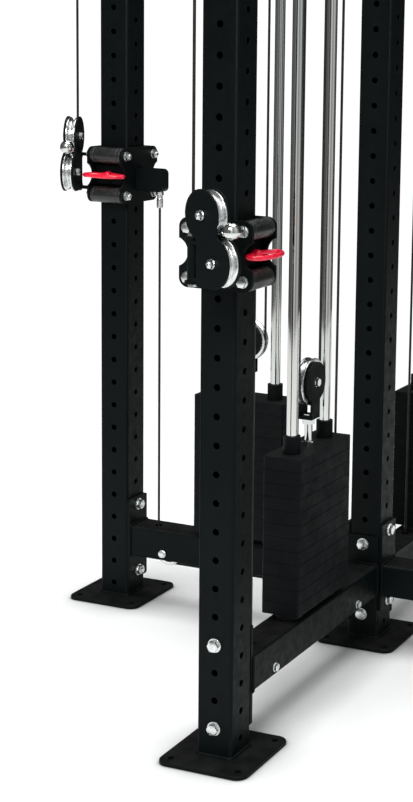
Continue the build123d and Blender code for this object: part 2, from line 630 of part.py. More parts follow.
def pull_direction():
    """Unit vector (reach, rise) along the cable where it leaves the upper pulley for the ball."""
    reach, rise = BALL[0] - UPPER_PULLEY[0], BALL[1] - UPPER_PULLEY[1]
    distance = math.hypot(reach, rise)
    touch = math.atan2(rise, reach) - math.acos(PULLEY_LINE_R / distance)
    return math.cos(touch + math.pi / 2), math.sin(touch + math.pi / 2)


def cable_ball():
    """The cable's ball end, with its neck and a short length of the cable."""
    along = pull_direction()
    y, z = head_spot(BALL)
    facing = Plane(origin=(0, y, z), x_dir=(1, 0, 0), z_dir=(0, -along[0], along[1]))
    neck = rod_z(0, 0, -29, -13, BALL_NECK_R) + rod_z(0, 0, -45, -15, CABLE_R)
    return facing * (Sphere(BALL_R) + neck)


# ---- assembly -----------------------------------------------------------------------------------
os.makedirs("parts", exist_ok=True)
centre_upright = upright()
write("uprights", [centre_upright] + on_every_arm([centre_upright]))
write("base_beams", [on_arm(shape, arm) for arm in ARMS for shape in base_beam(arm)])
write("top_beams", [on_arm(top_beam(arm), arm) for arm in ARMS])
write("frame_bolts", frame_bolts())
write("top_channels", on_every_arm([top_channel()]))
write("base_pulleys", on_every_arm(base_pulleys()))
write("top_pulleys", on_every_arm(top_pulleys()))
write("guide_rods", on_every_arm(guide_rods()))
write("stack_bumpers", on_every_arm(stack_bumpers()))
write("resting_plates", on_every_arm(resting_plates()))
write("cables", [cable for arm in ARMS for cable in frame_cables(arm)])
write("stack_lines", on_every_arm([stack_line()]))

stack_parts = {
    "lifted_stack": lifted_stack(),
    "stack_stem": stack_stem(),
    "stack_pulley": [stack_pulley()],
}
trolley_parts = {
    "trolley_frame": [trolley_frame()],
    "guide_rollers": guide_rollers(),
    "trolley_bolts": trolley_bolts(),
    "pull_pin": [pull_pin()],
}
head_parts = {
    "pulley_head": [pulley_head()],
    "head_bolts": head_bolts(),
    "upper_pulley": [head_pulley(UPPER_PULLEY)],
    "lower_pulley": [head_pulley(LOWER_PULLEY)],
    "cable_ball": [cable_ball()],
}
for arm in ARMS:
    lift = Pos(0, 0, TROLLEY_Z[arm])
    turn = Pos(0, OUTER_LINE_Y, 0) * Rot(0, 0, HEAD_ANGLE[arm]) * Pos(0, -OUTER_LINE_Y, 0)
    for node, shapes in stack_parts.items():
        write(f"{arm}_{node}", [on_arm(shape, arm) for shape in shapes])
    for node, shapes in trolley_parts.items():
        write(f"{arm}_{node}", [on_arm(lift * shape, arm) for shape in shapes])
    for node, shapes in head_parts.items():
        write(f"{arm}_{node}", [on_arm(lift * turn * shape, arm) for shape in shapes])
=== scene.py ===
"""Looks of the cable crossover machine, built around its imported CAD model. Metres, +Z up.

Kept CAD nodes get rounded edges and materials. Cables, pulleys, rollers, rods, fasteners, ball ends and ring
handles are modelled here at full detail and stand for their CAD nodes.
"""
import json
import math

import bmesh
import bpy
from mathutils import Matrix, Vector


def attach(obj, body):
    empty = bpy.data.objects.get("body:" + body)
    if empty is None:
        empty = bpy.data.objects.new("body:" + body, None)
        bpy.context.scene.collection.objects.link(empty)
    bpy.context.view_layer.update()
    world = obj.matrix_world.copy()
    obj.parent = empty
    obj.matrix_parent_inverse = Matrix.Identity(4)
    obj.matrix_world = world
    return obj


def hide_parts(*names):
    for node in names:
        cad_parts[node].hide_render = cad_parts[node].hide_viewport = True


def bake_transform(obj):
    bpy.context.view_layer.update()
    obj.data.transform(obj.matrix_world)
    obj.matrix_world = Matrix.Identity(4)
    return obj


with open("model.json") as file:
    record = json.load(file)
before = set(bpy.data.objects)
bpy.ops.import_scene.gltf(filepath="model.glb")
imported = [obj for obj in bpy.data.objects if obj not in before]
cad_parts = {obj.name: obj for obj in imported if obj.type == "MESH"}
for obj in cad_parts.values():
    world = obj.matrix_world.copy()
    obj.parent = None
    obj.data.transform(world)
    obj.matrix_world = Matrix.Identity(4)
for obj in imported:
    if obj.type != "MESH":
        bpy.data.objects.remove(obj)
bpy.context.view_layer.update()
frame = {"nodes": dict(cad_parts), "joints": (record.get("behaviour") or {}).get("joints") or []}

# ---- driving dimensions -------------------------------------------------------------------------
MM = 0.001
ARMS = {"front": 0, "left": -90, "rear": 180, "right": 90}
REACH = 720 * MM  # end upright axis to centre upright axis
HALF = 40 * MM  # half the width of the square tube
CABLE_R = 3 * MM
LINE_R = 44 * MM  # cable centreline on a head or top pulley
PULLEY_R = 47.5 * MM
STACK_LINE_R = 50 * MM
STACK_PULLEY_R = 53.5 * MM
BASE_LINE_R = 36 * MM
BASE_PULLEY_R = 39.5 * MM
PULLEY_W = 22 * MM
AXLE_R = 5 * MM
OUTER_Y = -134 * MM  # outer cable and swivel axis, in the arm frame
ANCHOR_Y = 110 * MM
STACK_Y = 366 * MM
FAR_Y = 504 * MM
TOP_PULLEY_Z = 2315 * MM
BASE_AXLE_Z = 139 * MM
CROSS_BOLT_Y = 560 * MM
CHANNEL_OUT = 19 * MM  # half the width of a top channel
BASE_BEAM_Z = 160 * MM
TOP_BEAM_Z = 2140 * MM
SIDE_SHIFT = 30 * MM
FLANGE_T = 8 * MM
FLANGE_BOLT = 90 * MM
FOOT_T = 8 * MM
ANCHOR_DROP = 82 * MM  # the end fitting's lower end below the trolley's centre
ROD_R = 12.5 * MM
ROD_SPREAD = 80 * MM  # from the stack's middle to each guide rod
ROLLER_X = 61.5 * MM
ROLLER_Z = 50 * MM
ROLLER_R = 20.5 * MM
ROLLER_HALF = 44 * MM
PLATE_OUT = 50.5 * MM  # upright axis to the outer face of a trolley plate
CHEEK_OUT = 15.5 * MM  # pulley to the outer face of a cheek
EAR_HIGH = 46 * MM
BALL_OUT = 117 * MM
BALL_UP = 68 * MM
BALL_R = 17 * MM
NECK = 45 * MM

# shank radius, hexagon across flats, head height, washer radius, washer thickness
FRAME_BOLT = (7 * MM, 22 * MM, 9 * MM, 15 * MM, 2.5 * MM)
SMALL_BOLT = (5 * MM, 16 * MM, 6 * MM, 10 * MM, 1.5 * MM)
ROLLER_BOLT = (6 * MM, 19 * MM, 8 * MM, 12 * MM, 2 * MM)
BOLT_END = 3 * MM  # how far a bolt stands out of its nut

FINE = 96  # segments round a pulley
ROUND = 48  # segments round a rod or roller
SMALL = 24  # segments round a cable or bolt

FLOOR_R = 4.5
SHADE_REACH = 0.16  # how far the painted contact shadow reaches from what stands on the floor
SHADE_DEPTH = 1.7

UP = Vector((0, 0, 1))
joints = {j["name"]: j for j in frame["joints"]}


# ---- mesh building ------------------------------------------------------------------------------
class Shape:
    """Collects lofts into one mesh. Each loft joins rings of equal counts; slot is its material's number."""

    def __init__(self):
        self.verts = []
        self.faces = []
        self.slots = []

    def loft(self, rings, at=None, caps=True, closed=False, slot=0):
        start = len(self.verts)
        count = len(rings[0])
        for ring in rings:
            self.verts += [(at @ Vector(p)) if at else Vector(p) for p in ring]
        spans = len(rings) if closed else len(rings) - 1
        before = len(self.faces)
        for k in range(spans):
            a = start + k * count
            b = start + (k + 1) % len(rings) * count
            for i in range(count):
                j = (i + 1) % count
                self.faces.append((a + i, a + j, b + j, b + i))
        if caps and not closed:
            last = start + (len(rings) - 1) * count
            self.faces.append(tuple(reversed(range(start, start + count))))
            self.faces.append(tuple(range(last, last + count)))
        self.slots += [slot] * (len(self.faces) - before)

    def mesh(self, name, materials, sharp=32):
        data = bpy.data.meshes.new(name)
        data.from_pydata([tuple(v) for v in self.verts], [], self.faces)
        for material in materials:
            data.materials.append(material)
        data.polygons.foreach_set("material_index", self.slots)
        work = bmesh.new()
        work.from_mesh(data)
        bmesh.ops.recalc_face_normals(work, faces=work.faces)
        work.to_mesh(data)
        work.free()
        data.shade_smooth()
        data.set_sharp_from_angle(angle=math.radians(sharp))
        return data


def place(name, data, body, at=None, replaces=()):
    """Put a mesh in the scene on a CAD body."""
    piece = bpy.data.objects.new(name, data)
    bpy.context.scene.collection.objects.link(piece)
    if at:
        piece.matrix_world = at
    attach(piece, body)
    if replaces:
        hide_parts(*replaces)
    return piece


def softened(points, radius, closed=True, steps=3):
    """A polyline with each corner cut round, by at most radius."""
    count = len(points)
    result = []
    for i, point in enumerate(points):
        if not closed and i in (0, count - 1):
            result.append(point)
            continue
        here = Vector(point)
        back = Vector(points[i - 1]) - here
        ahead = Vector(points[(i + 1) % count]) - here
        reach = min(radius, back.length * 0.45, ahead.length * 0.45)
        start = here + back.normalized() * reach
        end = here + ahead.normalized() * reach
        for k in range(steps + 1):
            t = k / steps
            spot = start * (1 - t) ** 2 + here * 2 * t * (1 - t) + end * t * t
            result.append(tuple(spot))
    return result


def turned(profile, segments):
    """Rings of a shape turned about Z, from (radius, height) points."""
    turns = [2 * math.pi * k / segments for k in range(segments)]
    return [[(r * math.cos(a), r * math.sin(a), z) for a in turns] for r, z in profile]


def swept(path, radius, sides):
    """Rings of a round bar along a path of points, without twist."""
    points = [Vector(p) for p in path]
    tangents = []
    for i in range(len(points)):
        before = points[max(i - 1, 0)]
        after = points[min(i + 1, len(points) - 1)]
        tangents.append((after - before).normalized())
    across = tangents[0].orthogonal().normalized()
    rings = []
    for point, tangent in zip(points, tangents):
        across = (across - tangent * across.dot(tangent)).normalized()
        other = tangent.cross(across)
        ring = []
        for k in range(sides):
            a = 2 * math.pi * k / sides
            ring.append(point + (across * math.cos(a) + other * math.sin(a)) * radius)
        rings.append(ring)
    return rings


def looped(path, radius, sides, swell=None):
    """Rings of a round bar along a closed level path; swell(0..1) scales the section along it."""
    count = len(path)
    rings = []
    for i in range(count):
        point = Vector(path[i])
        tangent = (Vector(path[(i + 1) % count]) - Vector(path[i - 1])).normalized()
        side = tangent.cross(UP)
        r = radius * (swell(i / count) if swell else 1)
        turns = [2 * math.pi * k / sides for k in range(sides)]
        rings.append([point + (side * math.cos(a) + UP * math.sin(a)) * r for a in turns])
    return rings


def arm_frame(arm):
    """An arm's own frame: the end upright's axis at the floor, +Y towards the centre upright."""
    return Matrix.Rotation(math.radians(ARMS[arm]), 4, "Z") @ Matrix.Translation((0, -REACH, 0))


def shift(x, y, z):
    return Matrix.Translation((x, y, z))


def turn(degrees, axis):
    return Matrix.Rotation(math.radians(degrees), 4, axis)


def pull_line(arm):
    """The direction of an arm's pull, its level part, and the place of the ball end."""
    pull = Vector(joints[f"{arm}_cable_pull"]["axis"])
    outward = Vector((pull.x, pull.y, 0)).normalized()
    swivel = Vector(joints[f"{arm}_head_swivel"]["pos_m"])
    return pull, outward, swivel + outward * BALL_OUT + UP * BALL_UP


def on_axis(origin, axis):
    """A frame at origin whose Z runs along axis."""
    return Matrix.Translation(origin) @ Vector(axis).to_track_quat("Z", "Y").to_matrix().to_4x4()


# ---- materials ----------------------------------------------------------------------------------
class Paint:
    """A node material: a principled shader fed by object coordinates."""

    def __init__(self, name, color, roughness, metallic=0.0, specular=0.5):
        self.material = bpy.data.materials.new(name)
        self.material.use_nodes = True
        self.tree = self.material.node_tree
        self.shader = self.tree.nodes["Principled BSDF"]
        self.set("Base Color", (*color, 1))
        self.set("Roughness", roughness)
        self.set("Metallic", metallic)
        self.set("Specular IOR Level", specular)
        self.coordinates = self.add("ShaderNodeTexCoord").outputs["Object"]
        self.normal = None

    def add(self, kind, **settings):
        node = self.tree.nodes.new(kind)
        for key, value in settings.items():
            setattr(node, key, value)
        return node

    def set(self, socket, value):
        self.shader.inputs[socket].default_value = value

    def link(self, source, target):
        self.tree.links.new(source, target)

    def stretched(self, scale):
        mapping = self.add("ShaderNodeMapping")
        self.link(self.coordinates, mapping.inputs["Vector"])
        mapping.inputs["Scale"].default_value = scale
        return mapping.outputs["Vector"]

    def noise(self, scale, detail=3.0, rough=0.55, stretch=(1, 1, 1)):
        node = self.add("ShaderNodeTexNoise")
        self.link(self.stretched(stretch), node.inputs["Vector"])
        node.inputs["Scale"].default_value = scale
        node.inputs["Detail"].default_value = detail
        node.inputs["Roughness"].default_value = rough
        return node.outputs["Fac"]

    def between(self, value, low, high, start=0.35, end=0.65):
        """Map a 0..1 value to low..high, with the contrast set by start and end."""
        node = self.add("ShaderNodeMapRange", clamp=True)
        self.link(value, node.inputs["Value"])
        for key, number in (("From Min", start), ("From Max", end), ("To Min", low), ("To Max", high)):
            node.inputs[key].default_value = number
        return node.outputs["Result"]

    def mix(self, factor, first, second):
        """Colours first to second by factor; each may be a colour or a socket."""
        node = self.add("ShaderNodeMix", data_type="RGBA")
        self.link(factor, node.inputs["Factor"])
        for key, value in (("A", first), ("B", second)):
            socket = next(s for s in node.inputs if s.name == key and s.type == "RGBA")
            if isinstance(value, tuple):
                socket.default_value = (*value, 1)
            else:
                self.link(value, socket)
        return next(s for s in node.outputs if s.type == "RGBA")

    def color(self, source):
        self.link(source, self.shader.inputs["Base Color"])

    def roughness(self, source):
        self.link(source, self.shader.inputs["Roughness"])

    def bump(self, height, strength, distance):
        node = self.add("ShaderNodeBump")
        node.inputs["Strength"].default_value = strength
        node.inputs["Distance"].default_value = distance
        self.link(height, node.inputs["Height"])
        if self.normal:
            self.link(self.normal, node.inputs["Normal"])
        self.normal = node.outputs["Normal"]
        self.link(self.normal, self.shader.inputs["Normal"])

    def edges(self, radius):
        """1 along edges and corners, 0 on flat faces."""
        soft = self.add("ShaderNodeBevel", samples=4)
        soft.inputs["Radius"].default_value = radius
        face = self.add("ShaderNodeNewGeometry").outputs["Normal"]
        dot = self.add("ShaderNodeVectorMath", operation="DOT_PRODUCT")
        self.link(soft.outputs["Normal"], dot.inputs[0])
        self.link(face, dot.inputs[1])
        return self.between(dot.outputs["Value"], 1.0, 0.0, 0.80, 0.995)

    def upward(self):
        """1 where a face looks up."""
        split = self.add("ShaderNodeSeparateXYZ")
        self.link(self.add("ShaderNodeNewGeometry").outputs["Normal"], split.inputs["Vector"])
        return self.between(split.outputs["Z"], 0.0, 1.0, 0.6, 0.95)


def black_powder_coat():
    paint = Paint("black_powder_coat", (0.003, 0.004, 0.004), 0.45, specular=0.08)
    clouds = paint.noise(3.5, 4)
    base = paint.mix(paint.between(clouds, 0, 1), (0.0020, 0.0034, 0.0036), (0.0032, 0.0050, 0.0052))
    specks = paint.between(paint.noise(900, 1), 0, 1, 0.62, 0.74)
    base = paint.mix(specks, base, (0.0050, 0.0066, 0.0068))
    # Up-facing faces lighter: dust patches plus painted top light.
    dust = paint.between(paint.noise(24, 4), 0, 1)
    dust_and_top_light = paint.mix(dust, (0.0056, 0.0062, 0.0060), (0.0125, 0.0130, 0.0125))
    base = paint.mix(paint.upward(), base, dust_and_top_light)
    # Painted edge highlight, partly rubbed wear: edges and corners lighter.
    base = paint.mix(paint.edges(1.4 * MM), base, (0.0080, 0.0100, 0.0100))
    paint.color(base)
    paint.roughness(paint.between(paint.noise(60, 3), 0.40, 0.56))
    paint.bump(paint.noise(420, 2), 0.35, 0.12 * MM)
    paint.bump(paint.noise(1500, 1), 0.2, 0.05 * MM)
    return paint.material


def weight_plate_enamel():
    paint = Paint("weight_plate_enamel", (0.003, 0.004, 0.0045), 0.5, specular=0.10)
    clouds = paint.between(paint.noise(9, 5), 0, 1)
    base = paint.mix(clouds, (0.0020, 0.0030, 0.0034), (0.0032, 0.0046, 0.0052))
    scuffs = paint.between(paint.noise(70, 6, 0.7, (1, 1, 0.15)), 0, 1, 0.60, 0.78)
    base = paint.mix(scuffs, base, (0.0050, 0.0064, 0.0070))
    # Painted top light: up-facing faces lighter.
    base = paint.mix(paint.upward(), base, (0.0085, 0.0100, 0.0102))
    # Painted edge highlight: edges and corners lighter.
    base = paint.mix(paint.edges(0.8 * MM), base, (0.0060, 0.0075, 0.0080))
    paint.color(base)
    paint.roughness(paint.between(paint.noise(35, 4), 0.50, 0.68))
    paint.bump(paint.noise(160, 4), 0.3, 0.2 * MM)
    return paint.material


def bright_zinc():
    paint = Paint("bright_zinc", (0.74, 0.76, 0.76), 0.26, metallic=1.0)
    tint = paint.between(paint.noise(60, 4), 0, 1)
    base = paint.mix(tint, (0.66, 0.70, 0.70), (0.86, 0.88, 0.86))
    grime = paint.between(paint.noise(380, 3), 0, 1, 0.58, 0.72)
    paint.color(paint.mix(grime, base, (0.50, 0.52, 0.50)))
    paint.roughness(paint.between(paint.noise(220, 4), 0.2, 0.38))
    paint.bump(paint.noise(700, 2), 0.25, 0.06 * MM)
    return paint.material


def chrome(name, roughness):
    """Polished chrome with faint grinding lines and smudges."""
    paint = Paint(name, (0.62, 0.64, 0.63), roughness, metallic=1.0)
    warm = paint.between(paint.noise(5, 2, 0.5, (1, 1, 0.3)), 0, 1)
    paint.color(paint.mix(warm, (0.60, 0.64, 0.63), (0.70, 0.70, 0.67)))
    smudge = paint.noise(14, 5, 0.6, (1, 1, 0.25))
    paint.roughness(paint.between(smudge, roughness * 0.6, roughness * 1.8))
    paint.bump(paint.noise(2500, 1, 0.5, (1, 1, 0.004)), 0.03, 0.02 * MM)
    return paint.material


def turned_aluminium():
    paint = Paint("turned_aluminium", (0.80, 0.81, 0.83), 0.22, metallic=1.0)
    rings = paint.add("ShaderNodeTexWave", wave_type="RINGS", rings_direction="Z")
    paint.link(paint.coordinates, rings.inputs["Vector"])
    rings.inputs["Scale"].default_value = 420
    rings.inputs["Distortion"].default_value = 1.5
    tone = paint.between(paint.noise(45, 4), 0, 1)
    base = paint.mix(tone, (0.56, 0.58, 0.58), (0.86, 0.88, 0.87))
    smears = paint.between(paint.noise(120, 4, 0.7), 0, 1, 0.56, 0.75)
    paint.color(paint.mix(smears, base, (0.40, 0.41, 0.42)))
    paint.roughness(paint.between(paint.noise(90, 4), 0.16, 0.34))
    paint.bump(rings.outputs["Fac"], 0.12, 0.04 * MM)
    return paint.material


def black_roller():
    """Turned urethane, satin with lathe marks."""
    paint = Paint("black_roller", (0.012, 0.012, 0.012), 0.34, specular=0.5)
    base = paint.mix(paint.between(paint.noise(30, 4), 0, 1), (0.009, 0.010, 0.010), (0.018, 0.019, 0.018))
    paint.color(base)
    paint.roughness(paint.between(paint.noise(55, 4), 0.26, 0.44))
    marks = paint.add("ShaderNodeTexWave", wave_type="BANDS", bands_direction="Z")
    paint.link(paint.coordinates, marks.inputs["Vector"])
    marks.inputs["Scale"].default_value = 260
    marks.inputs["Distortion"].default_value = 0.8
    paint.bump(marks.outputs["Fac"], 0.10, 0.04 * MM)
    return paint.material


def black_rubber():
    paint = Paint("black_rubber", (0.013, 0.013, 0.013), 0.7, specular=0.3)
    tone = paint.between(paint.noise(40, 4), 0, 1)
    paint.color(paint.mix(tone, (0.010, 0.010, 0.010), (0.022, 0.022, 0.021)))
    paint.roughness(paint.between(paint.noise(80, 3), 0.6, 0.82))
    paint.bump(paint.noise(600, 3), 0.4, 0.12 * MM)
    return paint.material


def cable_jacket():
    """Black nylon over laid steel rope, the lay just showing through."""
    paint = Paint("cable_jacket", (0.008, 0.007, 0.006), 0.36, specular=0.4)
    lay = paint.add("ShaderNodeTexWave", wave_type="BANDS", bands_direction="DIAGONAL")
    paint.link(paint.coordinates, lay.inputs["Vector"])
    lay.inputs["Scale"].default_value = 55
    tone = paint.between(paint.noise(12, 3), 0, 1)
    paint.color(paint.mix(tone, (0.006, 0.0055, 0.005), (0.012, 0.010, 0.009)))
    paint.roughness(paint.between(paint.noise(30, 3), 0.30, 0.46))
    paint.bump(lay.outputs["Fac"], 0.25, 0.15 * MM)
    return paint.material


def red_dip():
    """Thick dipped plastic, slightly uneven."""
    paint = Paint("red_dip", (0.62, 0.004, 0.026), 0.24, specular=0.5)
    base = paint.mix(paint.between(paint.noise(25, 3), 0, 1), (0.74, 0.003, 0.026), (0.92, 0.008, 0.050))
    paint.color(base)
    paint.roughness(paint.between(paint.noise(90, 3), 0.2, 0.36))
    paint.bump(paint.noise(110, 3), 0.35, 0.35 * MM)
    paint.set("Coat Weight", 0.35)
    paint.set("Coat Roughness", 0.12)
    return paint.material


def studio_floor():
    """Matt white paper with a painted contact shadow: its colour darkens close to what stands over it, and it
    is plain white far from the object.
    """
    paint = Paint("studio_floor", (0.93, 0.93, 0.93), 0.9, specular=0.0)
    paper = paint.mix(paint.between(paint.noise(1.2, 4), 0, 1), (0.925, 0.925, 0.925), (0.94, 0.94, 0.94))
    # Painted contact shadow: ambient occlusion darkens the floor colour near what stands over it.
    near = paint.add("ShaderNodeAmbientOcclusion", samples=12)
    near.inputs["Distance"].default_value = SHADE_REACH
    painted_shadow = paint.add("ShaderNodeMath", operation="POWER")
    paint.link(near.outputs["AO"], painted_shadow.inputs[0])
    painted_shadow.inputs[1].default_value = SHADE_DEPTH
    paint.color(paint.mix(painted_shadow.outputs["Value"], (0.05, 0.05, 0.05), paper))
    ring = paint.add("ShaderNodeVectorMath", operation="LENGTH")
    paint.link(paint.coordinates, ring.inputs[0])
    far = paint.between(ring.outputs["Value"], 0.0, 1.0, FLOOR_R * 0.35, FLOOR_R * 0.8)
    glow = paint.add("ShaderNodeEmission")
    glow.inputs["Strength"].default_value = 1.02
    blend = paint.add("ShaderNodeMixShader")
    paint.link(far, blend.inputs["Fac"])
    paint.link(paint.shader.outputs["BSDF"], blend.inputs[1])
    paint.link(glow.outputs["Emission"], blend.inputs[2])
    paint.link(blend.outputs["Shader"], paint.tree.nodes["Material Output"].inputs["Surface"])
    return paint.material


POWDER = black_powder_coat()
ENAMEL = weight_plate_enamel()
ZINC = bright_zinc()
ROD_CHROME = chrome("rod_chrome", 0.07)
BALL_CHROME = chrome("ball_chrome", 0.05)
ALUMINIUM = turned_aluminium()
ROLLER = black_roller()
RUBBER = black_rubber()
JACKET = cable_jacket()
RED = red_dip()


# ---- kept CAD nodes -----------------------------------------------------------------------------
def finish_node(node, material, bevel, angle=30):
    """Give a CAD node its material and small rounded edges."""
    piece = frame["nodes"][node]
    piece.data.materials.clear()
    piece.data.materials.append(material)
    if bevel:
        weld = piece.modifiers.new("weld", "WELD")
        weld.merge_threshold = 0.02 * MM
        flat = piece.modifiers.new("flat", "DECIMATE")
        flat.decimate_type = "DISSOLVE"
        flat.angle_limit = math.radians(0.5)
        soft = piece.modifiers.new("soft", "BEVEL")
        soft.width = bevel
        soft.segments = 2
        soft.limit_method = "ANGLE"
        soft.angle_limit = math.radians(angle)
        soft.harden_normals = True
        soft.use_clamp_overlap = True


for node in ("uprights", "base_beams", "top_beams", "top_channels"):
    finish_node(node, POWDER, 0.7 * MM)
finish_node("resting_plates", ENAMEL, 0)
for arm in ARMS:
    finish_node(f"{arm}_lifted_stack", ENAMEL, 0)
    finish_node(f"{arm}_stack_stem", ROD_CHROME, 0)
    finish_node(f"{arm}_trolley_frame", POWDER, 0.8 * MM)
    finish_node(f"{arm}_pulley_head", POWDER, 0.8 * MM)


# ---- cables -------------------------------------------------------------------------------------
def arc(centre_y, centre_z, radius, start, end, steps=24):
    """Points of an arc in the arm's YZ plane."""
    points = []
    for k in range(steps + 1):
        a = math.radians(start + (end - start) * k / steps)
        points.append((0, centre_y + radius * math.cos(a), centre_z + radius * math.sin(a)))
    return points


def cable_mesh(name, path, at):
    shape = Shape()
    shape.loft(swept([at @ Vector(p) for p in path], CABLE_R, SMALL))
    return shape.mesh(name, [JACKET], 60)


def stretching(name, start, end):
    """A straight cable between a point fixed on one body and a point fixed on another."""
    shape = Shape()
    shape.loft(swept([start, end], CABLE_R, SMALL))
    piece = bpy.data.objects.new(name, shape.mesh(name, [JACKET], 60))
    bpy.context.scene.collection.objects.link(piece)
    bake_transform(piece)


def arm_cables(arm):
    at = arm_frame(arm)
    swivel = Vector(joints[f"{arm}_head_swivel"]["pos_m"])
    stack_wheel = Vector(joints[f"{arm}_stack_pulley_spin"]["pos_m"])
    near_strand = STACK_Y - STACK_LINE_R
    far_strand = STACK_Y + STACK_LINE_R
    outer_pulley = OUTER_Y + LINE_R
    top_run = (
        arc(outer_pulley, TOP_PULLEY_Z, LINE_R, 180, 90)
        + arc(near_strand - LINE_R, TOP_PULLEY_Z, LINE_R, 90, 0)
    )
    place(f"{arm}_top_run", cable_mesh("top_run", top_run, at), "root")
    base_run = (
        arc(far_strand + LINE_R, TOP_PULLEY_Z, LINE_R, 180, 0)
        + arc(FAR_Y - BASE_LINE_R, BASE_AXLE_Z, BASE_LINE_R, 0, -90)
        + arc(ANCHOR_Y + BASE_LINE_R, BASE_AXLE_Z, BASE_LINE_R, 270, 180)
    )
    place(f"{arm}_base_run", cable_mesh("base_run", base_run, at), "root")

    upper = Vector(joints[f"{arm}_upper_pulley_spin"]["pos_m"])
    stretching(
        f"{arm}_outer_line",
        at @ Vector((0, OUTER_Y, TOP_PULLEY_Z)),
        at @ Vector((0, OUTER_Y, upper.z)),
    )
    stretching(
        f"{arm}_anchor_line",
        at @ Vector((0, ANCHOR_Y, BASE_AXLE_Z)),
        at @ Vector((0, ANCHOR_Y, swivel.z - ANCHOR_DROP + 4 * MM)),
    )
    for label, y in (("near", near_strand), ("far", far_strand)):
        stretching(
            f"{arm}_{label}_strand",
            at @ Vector((0, y, TOP_PULLEY_Z)),
            at @ Vector((0, y, stack_wheel.z)),
        )
    loop = arc(STACK_Y, stack_wheel.z, STACK_LINE_R, 180, 360, 40)
    place(f"{arm}_stack_loop", cable_mesh("stack_loop", loop, at), f"{arm}_stack")

    pull, outward, ball = pull_line(arm)
    leave = math.atan2(pull.z, pull.dot(outward)) + math.radians(270)
    wrap = []
    for k in range(31):
        a = math.pi + (leave - math.pi) * k / 30
        wrap.append(upper + (outward * math.cos(a) + UP * math.sin(a)) * LINE_R)
    place(f"{arm}_head_wrap", cable_mesh("head_wrap", wrap, Matrix()), f"{arm}_head")
    stretching(f"{arm}_pulled_line", wrap[-1], ball - pull * (NECK - 2 * MM))


for arm in ARMS:
    arm_cables(arm)
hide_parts("cables", "stack_lines")


# ---- pulleys ------------------------------------------------------------------------------------
def pulley_mesh(name, outer, line_r, width):
    """A turned pulley about Z: grooved rim, dished web with a step, hub and bearing seals."""
    groove = line_r - CABLE_R - 0.5 * MM
    w = width / 2
    rim = outer - (8 * MM if outer > 40 * MM else 5 * MM)
    hub = AXLE_R + 7 * MM
    side = [(rim - 4 * MM, w), (rim - 6 * MM, w - 3 * MM), (hub + 1.5 * MM, w - 3 * MM), (hub, w - 0.3 * MM)]
    lip = [(outer, w), (outer, 7 * MM)]
    throat = [(groove, 3.2 * MM), (groove - 0.8 * MM, 0)]
    upper = [(AXLE_R + 3 * MM, w - 0.3 * MM)] + side[::-1] + lip + throat
    lower = [(r, -z) for r, z in reversed(upper[:-1])]
    shape = Shape()
    shape.loft(turned(softened(upper + lower, 1.0 * MM), FINE), closed=True)
    for s in (-1, 1):
        seal = [(AXLE_R, 0), (AXLE_R + 3 * MM, 0), (AXLE_R + 3 * MM, w - 1 * MM), (AXLE_R, w - 1 * MM)]
        seal = [(r, s * z) for r, z in softened(seal, 0.4 * MM)]
        shape.loft(turned(seal, ROUND), closed=True, slot=1)
    return shape.mesh(name, [ALUMINIUM, RUBBER])


HEAD_PULLEY = pulley_mesh("head_pulley", PULLEY_R, LINE_R, PULLEY_W)
STACK_PULLEY = pulley_mesh("stack_pulley", STACK_PULLEY_R, STACK_LINE_R, PULLEY_W)
BASE_PULLEY = pulley_mesh("base_pulley", BASE_PULLEY_R, BASE_LINE_R, PULLEY_W)

for arm in ARMS:
    for joint, body, node, data in (
        (f"{arm}_upper_pulley_spin", f"{arm}_upper_wheel", f"{arm}_upper_pulley", HEAD_PULLEY),
        (f"{arm}_lower_pulley_spin", f"{arm}_lower_wheel", f"{arm}_lower_pulley", HEAD_PULLEY),
        (f"{arm}_stack_pulley_spin", f"{arm}_stack_wheel", f"{arm}_stack_pulley", STACK_PULLEY),
    ):
        at = on_axis(joints[joint]["pos_m"], joints[joint]["axis"])
        place(f"{node}_turned", data, body, at, [node])
    lying = arm_frame(arm)
    for label, y, z, data in (
        ("base_outer", ANCHOR_Y + BASE_LINE_R, BASE_AXLE_Z, BASE_PULLEY),
        ("base_inner", FAR_Y - BASE_LINE_R, BASE_AXLE_Z, BASE_PULLEY),
        ("top_outer", OUTER_Y + LINE_R, TOP_PULLEY_Z, HEAD_PULLEY),
        ("top_near", STACK_Y - STACK_LINE_R - LINE_R, TOP_PULLEY_Z, HEAD_PULLEY),
        ("top_far", STACK_Y + STACK_LINE_R + LINE_R, TOP_PULLEY_Z, HEAD_PULLEY),
    ):
        at = lying @ shift(0, y, z) @ turn(90, "Y")
        place(f"{arm}_{label}_turned", data, "root", at)
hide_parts("base_pulleys")
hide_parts("top_pulleys")


# ---- fasteners ----------------------------------------------------------------------------------
def hexagon_rings(flats, height, both_ends=False):
    """Rings of a hexagon head or nut about Z, its corners chamfered by a 30 degree cone."""
    per_side = 6
    outline = []
    for side in range(6):
        a0 = math.radians(60 * side)
        a1 = math.radians(60 * side + 60)
        corner = flats / math.sqrt(3)
        for k in range(per_side):
            t = k / per_side
            x = corner * (math.cos(a0) * (1 - t) + math.cos(a1) * t)
            y = corner * (math.sin(a0) * (1 - t) + math.sin(a1) * t)
            outline.append((x, y))
    flat_r = flats * 0.475
    slope = math.tan(math.radians(30))

    def cone_drop(x, y):
        return max(0.0, math.hypot(x, y) - flat_r) * slope

    def disc(z):
        return [(x * flat_r / math.hypot(x, y), y * flat_r / math.hypot(x, y), z) for x, y in outline]

    low = [(x, y, cone_drop(x, y) if both_ends else 0.0) for x, y in outline]
    high = [(x, y, height - cone_drop(x, y)) for x, y in outline]
    rings = [low, high, disc(height)]
    return [disc(0)] + rings if both_ends else rings


def washer(shape, at, inner, outer, thick):
    profile = [(inner, 0), (outer, 0), (outer, thick), (inner, thick)]
    shape.loft(turned(softened(profile, 0.5 * MM), ROUND), at, closed=True)


